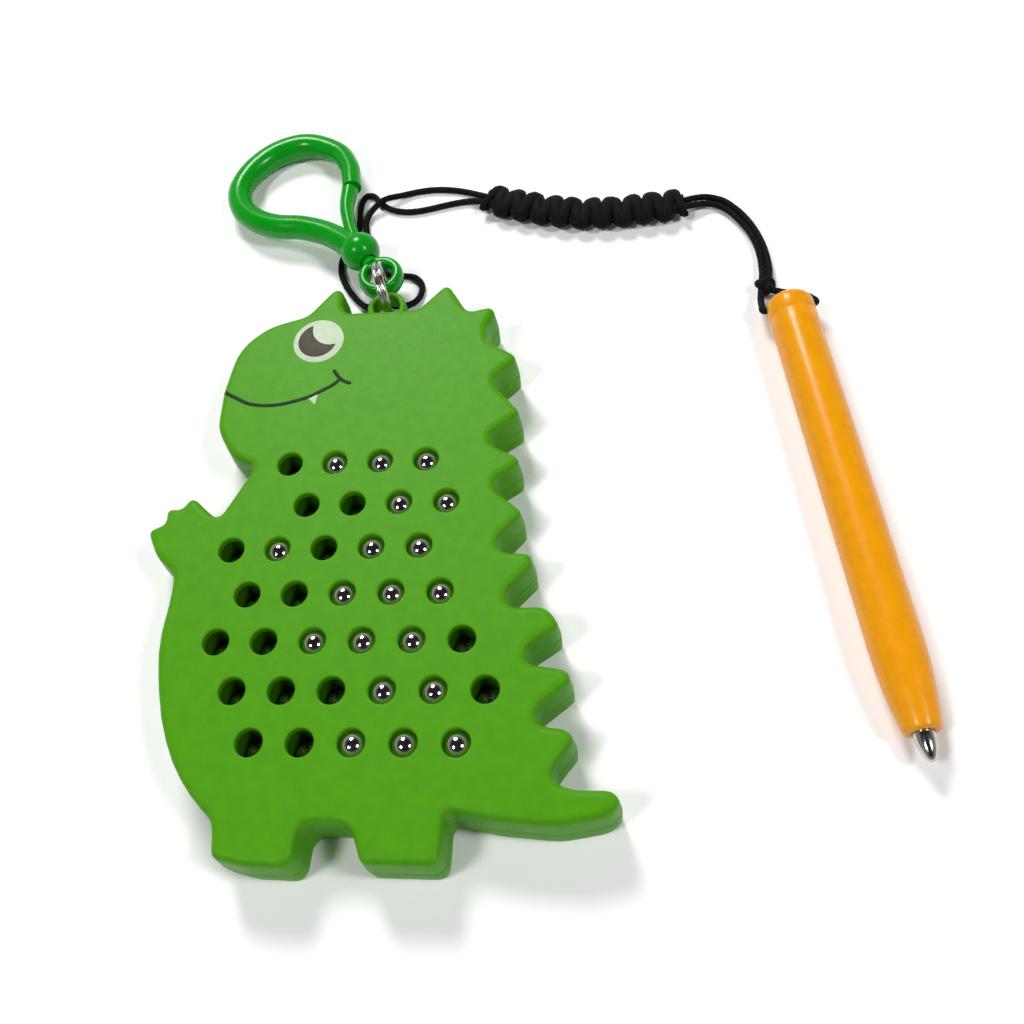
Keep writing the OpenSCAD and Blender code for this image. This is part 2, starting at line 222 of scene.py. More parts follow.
def flat_loops(node, height):
    """Boundary loops, longest first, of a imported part's flat faces at one height, as (x, y) arrays."""
    mesh = frame["nodes"][node].data
    mesh.calc_loop_triangles()
    keys = [tuple(round(c, 7) for c in v.co) for v in mesh.vertices]
    directed = set()
    for triangle in mesh.loop_triangles:
        corner = [keys[i] for i in triangle.vertices]
        if all(abs(c[2] - height) < 1e-6 for c in corner):
            directed.update((corner[k][:2], corner[(k + 1) % 3][:2]) for k in range(3))
    following = {a: b for a, b in directed if (b, a) not in directed}
    loops = []
    while following:
        start, at = next(iter(following.items()))
        loop = [start]
        del following[start]
        while at != start and at in following:
            loop.append(at)
            at = following.pop(at)
        loops.append(np.array(loop))
    return sorted(loops, key=lambda loop: -np.ptp(loop, axis=0).sum())


def anticlockwise(loop):
    """The loop, reversed if it runs clockwise."""
    x, y = loop.T
    return loop if np.sum(x * np.roll(y, -1) - y * np.roll(x, -1)) > 0 else loop[::-1]


def resampled(loop, spacing, soften):
    """A closed loop at even steps, anticlockwise, with its corners softened over the given length."""
    closed = np.vstack([loop, loop[:1]])
    along = run_length(closed)
    count = int(along[-1] / spacing)
    at = np.arange(count) * along[-1] / count
    points = np.stack([np.interp(at, along, closed[:, k]) for k in range(2)], 1)
    reach = int(4 * soften / spacing) + 1
    weight = np.exp(-0.5 * (np.arange(-reach, reach + 1) * spacing / soften) ** 2)
    weight /= weight.sum()
    points = sum(w * np.roll(points, shift, axis=0) for w, shift in zip(weight, range(-reach, reach + 1)))
    return anticlockwise(points)


def inward(loop):
    """Unit normals of an anticlockwise loop, pointing to its inside."""
    ahead = unit(np.roll(loop, -1, axis=0) - np.roll(loop, 1, axis=0))
    return np.stack([-ahead[:, 1], ahead[:, 0]], 1)


def distance_to(points, loop):
    """Distance from each point to a closed loop's nearest side."""
    a = loop
    side = np.roll(loop, -1, axis=0) - a
    length = (side ** 2).sum(1)
    best = np.full(len(points), 1e9)
    for begin in range(0, len(points), 400):
        rel = points[begin:begin + 400, None] - a[None]
        t = np.clip((rel * side).sum(-1) / length, 0, 1)
        best[begin:begin + 400] = np.sqrt((((rel - t[..., None] * side)) ** 2).sum(-1)).min(1)
    return best


def is_inside(points, loop):
    """Whether each point lies inside a closed loop."""
    x, y = points[:, :1], points[:, 1:]
    x0, y0 = loop.T
    x1, y1 = np.roll(loop, -1, axis=0).T
    crosses = ((y0 > y) != (y1 > y)) & (x < (x1 - x0) * (y - y0) / np.where(y1 == y0, 1, y1 - y0) + x0)
    return crosses.sum(1) % 2 == 1


def filled(loops, free_points, heights, holes):
    """Triangles inside the first loop, around the holes. heights gives z for every loop and free point, in
    order. Holes are (centre, radius); with none given, each further loop is a hole.
    """
    points = np.vstack(loops + free_points)
    sides, count = [], 0
    for loop in loops:
        sides += [(count + k, count + (k + 1) % len(loop)) for k in range(len(loop))]
        count += len(loop)
    out = delaunay_2d_cdt([Vector(p) for p in points.tolist()], sides, [], 1, 1e-9)
    flat, triangles, origin = np.array([tuple(v) for v in out[0]]), np.array(out[2]), out[3]
    z = np.array([heights[src[0]] if src else heights[0] for src in origin])
    middle = flat[triangles].mean(1)
    keep = is_inside(middle, loops[0])
    for centre, radius in holes:
        keep &= np.linalg.norm(middle - centre, axis=1) > radius * 0.999
    if not holes:
        for loop in loops[1:]:
            keep &= ~is_inside(middle, loop)
    return np.column_stack([flat, z]), [tuple(t) for t in triangles[keep]]


def wall_between(loop_a, z_a, loop_b, z_b):
    """Quads between two loops that have the same number of points."""
    n = len(loop_a)
    verts = np.vstack([np.column_stack([loop, np.full(n, z)]) for loop, z in ((loop_a, z_a), (loop_b, z_b))])
    return verts, [(k, (k + 1) % n, n + (k + 1) % n, n + k) for k in range(n)]


def circle(centre, radius, sides=48):
    """Points of a circle."""
    a = np.arange(sides) * 2 * math.pi / sides
    return np.asarray(centre) + radius * np.stack([np.cos(a), np.sin(a)], 1)


# ---------------------------------------------------------------- materials

def new_material(name, color, roughness, metallic=0.0, **constant):
    """A Principled material with its tree's nodes, links and shader."""
    material = bpy.data.materials.new(name)
    material.use_nodes = True
    nodes, links = material.node_tree.nodes, material.node_tree.links
    shader = nodes["Principled BSDF"]
    shader.inputs["Base Color"].default_value = (*color, 1)
    shader.inputs["Roughness"].default_value = roughness
    shader.inputs["Metallic"].default_value = metallic
    for socket, value in constant.items():
        shader.inputs[socket.replace("_", " ")].default_value = value
    return material, nodes, links, shader


def noise(nodes, links, scale, detail=2.0):
    """Noise over the piece's own coordinates, in cells per metre."""
    where = nodes.new("ShaderNodeTexCoord")
    made = nodes.new("ShaderNodeTexNoise")
    made.inputs["Scale"].default_value = scale
    made.inputs["Detail"].default_value = detail
    links.new(where.outputs["Object"], made.inputs["Vector"])
    return made.outputs["Fac"]


def mottle(nodes, links, shader, color, scale, spread):
    """Colour that wanders a little darker and lighter over the surface."""
    ramp = nodes.new("ShaderNodeValToRGB")
    ramp.color_ramp.elements[0].position = 0.3
    ramp.color_ramp.elements[1].position = 0.7
    ramp.color_ramp.elements[0].color = (*[c * (1 - spread) for c in color], 1)
    ramp.color_ramp.elements[1].color = (*[min(1, c * (1 + spread)) for c in color], 1)
    links.new(noise(nodes, links, scale), ramp.inputs["Fac"])
    links.new(ramp.outputs["Color"], shader.inputs["Base Color"])


def vary_roughness(nodes, links, shader, scale, low, high):
    """Roughness that wanders between two values."""
    spread = nodes.new("ShaderNodeMapRange")
    spread.inputs["From Min"].default_value = 0.3
    spread.inputs["From Max"].default_value = 0.7
    spread.inputs["To Min"].default_value = low
    spread.inputs["To Max"].default_value = high
    links.new(noise(nodes, links, scale, 3), spread.inputs["Value"])
    links.new(spread.outputs["Result"], shader.inputs["Roughness"])


def bumped(nodes, links, shader, height, depth, strength):
    """Bump from a height socket."""
    bump = nodes.new("ShaderNodeBump")
    bump.inputs["Distance"].default_value = depth
    bump.inputs["Strength"].default_value = strength
    links.new(height, bump.inputs["Height"])
    links.new(bump.outputs["Normal"], shader.inputs["Normal"])


def finish(name, color, roughness, patches, gloss, grain, **constant):
    """A material that varies in three ways: its colour by (scale, spread), its roughness by (scale, low,
    high) and its bump by (scale, detail, depth, strength).
    """
    material, nodes, links, shader = new_material(name, color, roughness, **constant)
    mottle(nodes, links, shader, color, *patches)
    vary_roughness(nodes, links, shader, *gloss)
    scale, detail, depth, strength = grain
    bumped(nodes, links, shader, noise(nodes, links, scale, detail), depth, strength)
    return material


def moulded_plastic(name, color, rough_low, rough_high, grain, depth, shine=0.2, coat=0.0):
    """Moulded plastic: faint flow mottling, a fine mould grain and uneven gloss."""
    return finish(name, color, rough_low, (500, 0.05), (1500, rough_low, rough_high), (grain, 3, depth, 0.35),
                  Coat_Weight=coat, Coat_Roughness=0.12, Specular_IOR_Level=shine)


def polished_steel(name, color, rough_low, rough_high):
    """Polished or plated steel with faint rubbing marks."""
    return finish(name, color, rough_low, (600, 0.06), (900, rough_low, rough_high),
                  (3000, 4, 0.00001, 0.15), metallic=1.0)


def braided_yarn(name, color):
    """Black polyester cord: matt yarn with a soft sheen and fine fibres."""
    return finish(name, color, 0.7, (1500, 0.5), (2500, 0.55, 0.85), (9000, 4, 0.00006, 0.5),
                  Sheen_Weight=0.03, Sheen_Roughness=0.4, Specular_IOR_Level=0.12)


def printed_ink(name, color):
    """Pad-printed ink, with a thin, slightly uneven film."""
    return finish(name, color, 0.5, (700, 0.06), (1200, 0.5, 0.6), (5000, 2, 0.00001, 0.3),
                  Specular_IOR_Level=0.15)


def shared_material(name, maker, *arguments, **options):
    """The named material, made once."""
    return bpy.data.materials.get(name) or maker(name, *arguments, **options)


# ---------------------------------------------------------------- settings

def length(name, description, default):
    return FloatProperty(name=name, description=description, default=default, unit="LENGTH", precision=5)


def color(name, description, default):
    return FloatVectorProperty(name=name, description=description, default=default, subtype="COLOR",
                               size=3, min=0, max=1)


class BoardSettings(PropertyGroup):
    plastic: color("Board colour", "Colour of the board's moulded plastic", (0.064, 0.28, 0.001))
    edge_round: length("Edge rounding", "Radius of the rounding round the board's faces", 1.2 * MM)
    draft: length("Draft", "How far each side wall leans in from the parting line", 0.2 * MM)
    groove: length("Parting groove", "Depth of the groove where the two shells meet", 0.12 * MM)
    rim_round: length("Window rounding", "Radius of the rounding round each ball window", 0.32 * MM)


class PrintSettings(PropertyGroup):
    white: color("Eye white", "Ink of the eye and the tooth", (0.50, 0.60, 0.43))
    pupil: color("Pupil", "Ink of the pupil", (0.07, 0.062, 0.045))
    line: color("Mouth", "Ink of the mouth line", (0.006, 0.028, 0.004))
    film: length("Ink film", "Thickness of the printed ink", 0.04 * MM)


class BallSettings(PropertyGroup):
    steel: color("Steel", "Colour of the polished balls", (0.66, 0.64, 0.60))
    sides: IntProperty(name="Ball sides", description="Steps round each ball", default=48, min=16, max=96)


class ClipSettings(PropertyGroup):
    plastic: color("Clip colour", "Colour of the clip's glossy plastic", (0.001, 0.27, 0.007))
    bar: length("Bar radius", "Radius of the hook's round bar", 2.5 * MM)
    wire: length("Ring wire", "Radius of the split ring's wire", 0.5 * MM)
    plating: color("Ring plating", "Colour of the split ring", (0.55, 0.54, 0.5))


class PenSettings(PropertyGroup):
    plastic: color("Pen colour", "Colour of the pen's barrel and cap", (0.74, 0.29, 0.0))
    seam: length("Cap seam", "Depth of the groove between the cap and the barrel", 0.09 * MM)
    steel: color("Tip", "Colour of the pen's metal tip", (0.5, 0.49, 0.46))


class CordSettings(PropertyGroup):
    yarn: color("Cord colour", "Colour of the cord's yarn", (0.0022, 0.0022, 0.002))
    diameter: length("Cord diameter", "Diameter of the cord", 1.3 * MM)
    rib: FloatProperty(name="Rib depth", description="Depth of the yarn's ribs, as a share of the radius",
                       default=0.07, min=0, max=0.2)


class StageSettings(PropertyGroup):
    floor: color("Floor colour", "Colour of the floor", (0.97, 0.97, 0.97))
    key_power: FloatProperty(name="Key light", description="Power of the main light", default=7.4,
                             unit="POWER")
    fill_power: FloatProperty(name="Fill lights", description="Power of each side light", default=3.2,
                              unit="POWER")
    sky: FloatProperty(name="Sky", description="Brightness of the surroundings near the horizon", default=0.4)


# ---------------------------------------------------------------- board

def shell_mesh(settings, loop, inner, joint_z, face_z, inner_z, windows):
    """One half of the board: a drafted wall with a groove at the joint, and a face with rounded edges."""
    out = 1 if face_z > joint_z else -1
    normal = inward(loop)
    edge, inset, rim = settings.edge_round, settings.draft, settings.rim_round
    wall = [(settings.groove, joint_z), (0.3 * settings.groove, joint_z + out * 0.08 * MM),
            (0, joint_z + out * 0.25 * MM), (inset, face_z - out * edge)]
    rings = [loop + normal * depth for depth, _ in wall]
    parts = [wall_between(rings[k], wall[k][1], rings[k + 1], wall[k + 1][1]) for k in range(len(wall) - 1)]

    outlines, outline_heights = [rings[-1]], [face_z - out * edge] * len(loop)
    free, free_heights = [], []

    def add_free(points, z):
        free.append(points)
        free_heights.extend([z] * len(points))

    levels = [(inset + edge * (1 - math.cos(angle)), face_z - out * edge * (1 - math.sin(angle)))
              for angle in np.radians([15, 30, 45, 60, 75, 90])]
    levels.append((inset + edge + 0.15 * MM, face_z))
    for depth, z in levels:
        ring = loop + normal * depth
        add_free(ring[(distance_to(ring, loop) > depth - 0.02 * MM) & is_inside(ring, loop)], z)
    for centre, radius in windows:
        mouth = circle(centre, radius)
        outlines.append(mouth)
        outline_heights += [face_z - out * rim] * len(mouth)
        for angle in np.radians([25, 50, 70, 90]):
            add_free(circle(centre, radius + rim * (1 - math.cos(angle))),
                     face_z - out * rim * (1 - math.sin(angle)))
        add_free(circle(centre, radius + rim + 0.12 * MM), face_z)
        parts.append(wall_between(mouth, face_z - out * rim, mouth, inner_z))
    parts.append(filled(outlines, free, outline_heights + free_heights, windows))
    parts.append(filled([rings[0], inner], [], [joint_z] * (len(rings[0]) + len(inner)), []))
    parts.append(wall_between(inner, joint_z, inner, inner_z))
    ceiling = [inner] + [circle(*window) for window in windows]
    parts.append(filled(ceiling, [], [inner_z] * sum(map(len, ceiling)), windows))
    return merged(parts)


def board_outline():
    """The board's outline, softened so that its corners look moulded."""
    return resampled(flat_loops("front_shell", BOARD_TOP)[0], 0.4 * MM, 0.4 * MM)


def window_circles():
    """Centre and radius of each ball window in the face."""
    loops = flat_loops("front_shell", BOARD_TOP)[1:]
    return [((loop.min(0) + loop.max(0)) / 2, np.ptp(loop, axis=0).mean() / 2) for loop in loops]


class KEYCHAIN_OT_board(Operator):
    """Builds the two moulded shells of the board and its lug"""
    bl_idname = "keychain.board"
    bl_label = "Board Shells"

    def execute(self, context):
        settings = context.scene.keychain_board
        green = shared_material("Board_Plastic", moulded_plastic, tuple(settings.plastic), 0.42, 0.48, 3200,
                                0.00005, shine=0.13)
        outline = board_outline()
        halves = (("Board_Face", "front_shell", BOARD_TOP, FACE_UNDERSIDE, window_circles()),
                  ("Board_Back", "back_shell", 0.0, BACK_INSIDE, []))
        for name, node, face_z, inner_z, windows in halves:
            inner = resampled(flat_loops(node, inner_z)[0], 0.8 * MM, 0.3 * MM)
            verts, faces = shell_mesh(settings, outline, inner, PARTING, face_z, inner_z, windows)
            half = add_mesh(name, verts, faces)
            weld_and_face_out(half)
            finish_piece(half, green, "board", [node])
        self.lug(green)
        return {"FINISHED"}

    def lug(self, green):
        """A rounded eyelet at the head, which the split ring passes through."""
        at = Vector(JOINTS["ring_swing"]["pos_m"])
        inner, outer, half, round_r = 2.5 * MM, 3.7 * MM, 1.9 * MM, 0.5 * MM
        profile = []
        for x, r, first in ((half, outer, 90), (half, inner, 0), (-half, inner, -90), (-half, outer, 180)):
            corner_x = x - math.copysign(round_r, x)
            corner_r = r - round_r if r == outer else r + round_r
            profile += [(corner_x + round_r * math.cos(a), corner_r + round_r * math.sin(a))
                        for a in np.radians([first, first - 30, first - 60, first - 90])]
        verts, faces = turned(profile, 72, closed=True)
        eyelet = add_mesh("Board_Lug", placed(verts, standing(at)), faces)
        weld_and_face_out(eyelet)
        finish_piece(eyelet, green, "board")


def raised_patch(name, outline, film, edge, board):
    """A patch of ink with a softened edge, lying on the face and over the rounding at the board's edge."""
    outline = anticlockwise(np.asarray(outline, float) * MM)
    soft = outline + inward(outline) * film
    parts = [wall_between(outline, BOARD_TOP - film, outline, BOARD_TOP + 0.5 * film),
             wall_between(outline, BOARD_TOP + 0.5 * film, soft, BOARD_TOP + film)]
    parts.append(filled([soft], [], [BOARD_TOP + film] * len(soft), []))
    parts.append(filled([outline], [], [BOARD_TOP - film] * len(outline), []))
    verts, faces = merged(parts)
    flat_from = board.draft + board.edge_round
    over = np.clip(flat_from - distance_to(verts[:, :2], edge), 0, board.edge_round)
    verts[:, 2] -= board.edge_round - np.sqrt(board.edge_round ** 2 - over ** 2)
    patch = add_mesh(name, verts, faces)
    weld_and_face_out(patch)
    return patch


def line_patch(points, width):
    """Outline, in millimetres, of a drawn line with round ends."""
    path = even_curve(np.array(points, float), 0.4)
    ahead = unit(np.gradient(path, axis=0))
    side = np.stack([-ahead[:, 1], ahead[:, 0]], 1) * width / 2
    caps = []
    for end, sign in ((-1, 1), (0, -1)):
        a0 = math.atan2(*(sign * side[end])[::-1])
        caps.append([path[end] + width / 2 * np.array([math.cos(a0 - a), math.sin(a0 - a)])
                     for a in np.linspace(0, math.pi, 9)[1:-1]])
    return np.vstack([path + side, caps[0], (path - side)[::-1], caps[1]])


class KEYCHAIN_OT_face_print(Operator):
    """Prints the creature's eye, mouth and tooth on the board"""
    bl_idname = "keychain.face_print"
    bl_label = "Face Print"

    def execute(self, context):
        settings = context.scene.keychain_print
        film = settings.film
        white = shared_material("Print_White", printed_ink, tuple(settings.white))
        dark = shared_material("Print_Pupil", printed_ink, tuple(settings.pupil))
        line = shared_material("Print_Line", printed_ink, tuple(settings.line))
        pupil_at, pupil_r = np.array([-6.2, 50.4]), 3.65
        bite_at, bite_r = np.array([-3.65, 53.15]), 3.75
        rim = circle(pupil_at, pupil_r, 120)
        bite = circle(bite_at, bite_r, 120)
        kept = rim[np.linalg.norm(rim - bite_at, axis=1) > bite_r]
        cut = bite[np.linalg.norm(bite - pupil_at, axis=1) < pupil_r]
        crescent = self.in_order(kept, cut)
        mouth = [(-22.45, 40.05), (-21.9, 39.6), (-20, 38.5), (-18, 37.4), (-16, 36.8), (-14, 36.6),
                 (-12, 36.65), (-10, 37), (-8, 37.5), (-6, 38.2), (-4, 39.3), (-2, 40.5), (-0.9, 41.7)]
        corner = [(-2.2, 43.4), (-1.6, 42.5), (-0.9, 41.6), (0, 41), (0.9, 40.6)]
        tooth = [(-6.5, 37.8), (-5.75, 37.05), (-5, 36.3), (-4.85, 37.4), (-4.7, 38.5)]
        patches = (("Print_Eye", circle((-6, 50.3), 4.75, 96), film, white),
                   ("Print_Pupil", crescent, 1.8 * film, dark),
                   ("Print_Tooth", tooth, film, white),
                   ("Print_Mouth", line_patch(mouth, 0.72), 1.4 * film, line),
                   ("Print_Mouth_Corner", line_patch(corner, 0.66), 1.8 * film, line))
        edge = board_outline()
        for name, outline, thickness, ink in patches:
            patch = raised_patch(name, outline, thickness, edge, context.scene.keychain_board)
            finish_piece(patch, ink, "board")
        return {"FINISHED"}

    @staticmethod
    def in_order(kept, cut):
        """The crescent's points in order: round its outside, then back along the bite."""
        def from_gap(points):
            gap = int(np.argmax(np.linalg.norm(points - np.roll(points, 1, axis=0), axis=1)))
            return np.roll(points, -gap, axis=0)

        kept = from_gap(kept)
        cut = from_gap(cut)
        if np.linalg.norm(cut[0] - kept[-1]) > np.linalg.norm(cut[-1] - kept[-1]):
            cut = cut[::-1]
        return np.vstack([kept, cut])


class KEYCHAIN_OT_balls(Operator):
    """Builds the polished steel balls, each on its own slide"""
    bl_idname = "keychain.balls"
    bl_label = "Steel Balls"

    def execute(self, context):
        settings = context.scene.keychain_balls
        steel = shared_material("Ball_Steel", polished_steel, tuple(settings.steel), 0.05, 0.12)
        sides = settings.sides
        half_turn = np.linspace(0.03, math.pi - 0.03, sides // 2 + 1)
        for node in BALL_NODES:
            low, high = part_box(node)
            radius = (high.z - low.z) / 2
            verts, faces = turned([(-radius * math.cos(a), radius * math.sin(a)) for a in half_turn], sides)
            centre = Vector(((low.x + high.x) / 2, (low.y + high.y) / 2, (low.z + high.z) / 2))
            # The lathe's axis leans differently on each ball, as they roll freely
            number = int(node[-2:])
            lean = Matrix.Rotation(number * 1.3, 4, "Z") @ Matrix.Rotation(number * 0.7, 4, "Y")
            place = Matrix.Translation(centre) @ lean
            ball = add_mesh("Steel_Ball_" + node[-2:], placed(verts, place), faces)
            finish_piece(ball, steel, node + "_body", [node])
        return {"FINISHED"}


class KEYCHAIN_OT_inner_parts(Operator):
    """Finishes the ball guide, the magnet sheet and the pen's magnet"""
    bl_idname = "keychain.inner_parts"
    bl_label = "Inner Parts"

    def execute(self, context):
        # The guide is the board's green at half brightness: painted shade for the deep ball windows
        green = tuple(c * 0.5 for c in context.scene.keychain_board.plastic)
        guide = shared_material("Guide_Plastic", moulded_plastic, green, 0.4, 0.5, 2600, 0.00003)
        magnet = shared_material("Magnet_Sheet", moulded_plastic, (0.02, 0.025, 0.015), 0.6, 0.75, 4000,
                                 0.00004)
        for node, material in (("ball_guide", guide), ("magnet_sheet", magnet), ("pen_magnet", magnet)):
            part = frame["nodes"][node]
            part.data.materials.clear()
            part.data.materials.append(material)
        return {"FINISHED"}


# ---------------------------------------------------------------- ring and clip

def clip_matrix():
    """Clip frame: origin in the collar, X along the swivel, Y to the hook's wide side."""
    swivel, gate = JOINTS["clip_swivel"], JOINTS["gate_open"]
    x, z = Vector(swivel["axis"]), Vector(gate["axis"])
    turn = Matrix((x, z.cross(x), z)).transposed().to_4x4()
    return Matrix.Translation(Vector(swivel["pos_m"])) @ turn


class KEYCHAIN_OT_split_ring(Operator):
    """Builds the split ring as one wire wound twice"""
    bl_idname = "keychain.split_ring"
    bl_label = "Split Ring"

    def execute(self, context):
        settings = context.scene.keychain_clip
        low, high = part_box("split_ring")
        wire = settings.wire
        radius = (high.z - low.z) / 2 - wire
        lug, eye = Vector(JOINTS["ring_swing"]["pos_m"]), Vector(JOINTS["eye_swing"]["pos_m"])
        ahead = Vector((eye.x - lug.x, eye.y - lug.y, 0)).normalized()
        across = Vector((ahead.y, -ahead.x, 0))
        centre = (low + high) / 2
        step = 0.49 * MM
        start, turns = math.radians(200), 2 * math.pi * 1.96
        path, sizes = [], []
        for k in range(241):
            share = k / 240
            angle = start + turns * share
            shift = step * math.tanh((share - 0.5) * 14)
            path.append(centre + (ahead * math.cos(angle) + Vector((0, 0, 1)) * math.sin(angle)) * radius
                        + across * shift)
            sizes.append((wire * 0.98, wire * 0.98))
        verts, faces = sweep(path, sizes, 20, up=across, rounded=(True, True))
        plated = shared_material("Ring_Plating", polished_steel, tuple(settings.plating), 0.14, 0.26)
        finish_piece(add_mesh("Split_Ring", verts, faces), plated, "ring", ["split_ring"])
        return {"FINISHED"}


class KEYCHAIN_OT_clip(Operator):
    """Builds the swivel eye, the hook with its collar, and the sprung gate"""
    bl_idname = "keychain.clip"
    bl_label = "Swivel Clip"

    HOOK = ((1.5, 0.6), (5.4, 1.6), (9.5, 3.1), (14.2, 6.1), (18.2, 10), (22.8, 12.7), (28.2, 13.6),
            (33.6, 11.7), (37.2, 6.6), (38.2, 0), (35.6, -6.3), (29.1, -10.1), (23.4, -9.9), (19.8, -8.5),
            (17.3, -7.3))
    HOOK_SIZE = (1.05, 1, 1, 1, 1, 1, 1, 1.02, 1.06, 1.08, 1.06, 0.96, 0.87, 0.83, 0.79)
    GATE = ((2.6, -0.6), (4.6, -0.85), (8.9, -2.1), (13.1, -3.9), (17, -6.65))

    def execute(self, context):
        settings = context.scene.keychain_clip
        self.green = shared_material("Clip_Plastic", moulded_plastic, tuple(settings.plastic), 0.2, 0.3, 1200,
                                     0.00003, shine=0.15, coat=0.2)
        self.eye()
        self.hook(settings.bar)
        self.gate()
        return {"FINISHED"}

    def flat(self, points, spacing):
        """A smooth path in the clip's own plane."""
        return even_curve([(s * MM, t * MM, 0) for s, t in points], spacing * MM)

    def eye(self):
        """A thick rounded eye with a flared neck that runs into the collar."""
        at = Vector(JOINTS["eye_swing"]["pos_m"])
        inner, outer, half = 2.3 * MM, 4.45 * MM, 1.8 * MM
        middle, wide = (inner + outer) / 2, (outer - inner) / 2
        profile = []
        for k in range(32):
            angle = 2 * math.pi * k / 32
            # A power below one squares the round section a little
            along, out = [math.copysign(abs(v) ** 0.8, v) for v in (math.sin(angle), math.cos(angle))]
            profile.append((half * along, middle + wide * out))
        eye = turned(profile, 96, closed=True)
        reach = (Vector(JOINTS["clip_swivel"]["pos_m"]) - at).length
        neck = turned([(-reach + inner + 0.9 * MM, 1.9 * MM), (-reach + outer - 0.2 * MM, 1.75 * MM),
                       (-3.9 * MM, 1.5 * MM), (-3.4 * MM, 1.4 * MM), (-0.8 * MM, 1.4 * MM),
                       (-0.8 * MM, 2.1 * MM), (1.1 * MM, 2.1 * MM)], 48)
        parts = merged([(placed(eye[0], standing(at)), eye[1]), (placed(neck[0], clip_matrix()), neck[1])])
        piece = add_mesh("Swivel_Eye", *parts)
        weld_and_face_out(piece)
        finish_piece(piece, self.green, "eye", ["swivel_eye"])

    def hook(self, bar):
        """The round bar of the hook, growing out of a ball-shaped collar with a swivel socket."""
        path = self.flat(self.HOOK, 0.6)
        knots = smooth_curve([(x, 0) for x in self.HOOK_SIZE], 24)[:, 0]
        share = np.interp(np.linspace(0, 1, len(path)), np.linspace(0, 1, len(knots)), knots)
        bar_mesh = sweep(path, [(bar * s, bar * s) for s in share], 40)
        ball, socket, lip = 3.9 * MM, 1.46 * MM, 0.25 * MM
        mouth = math.sqrt(ball ** 2 - (socket + lip) ** 2)
        profile = [(-0.9 * MM, socket), (-mouth + lip, socket), (-mouth, socket + lip)]
        first = math.asin((socket + lip) / ball)
        round_part = np.linspace(first, math.pi - 0.05, 40)[1:]
        profile += [(-ball * math.cos(a), ball * math.sin(a)) for a in round_part]
        collar_mesh = turned(profile, 72)
        verts, faces = merged([bar_mesh, collar_mesh])
        hook = add_mesh("Clip_Hook", placed(verts, clip_matrix()), faces)
        weld_and_face_out(hook)
        finish_piece(hook, self.green, "clip", ["clip_hook"])

    def gate(self):
        """The slimmer sprung tongue that closes the hook."""
        path = self.flat(self.GATE, 0.5)
        share = np.linspace(0, 1, len(path))
        wide = (1.3 + 0.4 * share ** 2) * MM
        deep = (1.5 + 0.3 * share ** 2) * MM
        verts, faces = sweep(path, np.stack([wide, deep], 1), 32, rounded=(True, False))
        gate = add_mesh("Clip_Gate", placed(verts, clip_matrix()), faces)
        finish_piece(gate, self.green, "gate", ["clip_gate"])


# ---------------------------------------------------------------- pen

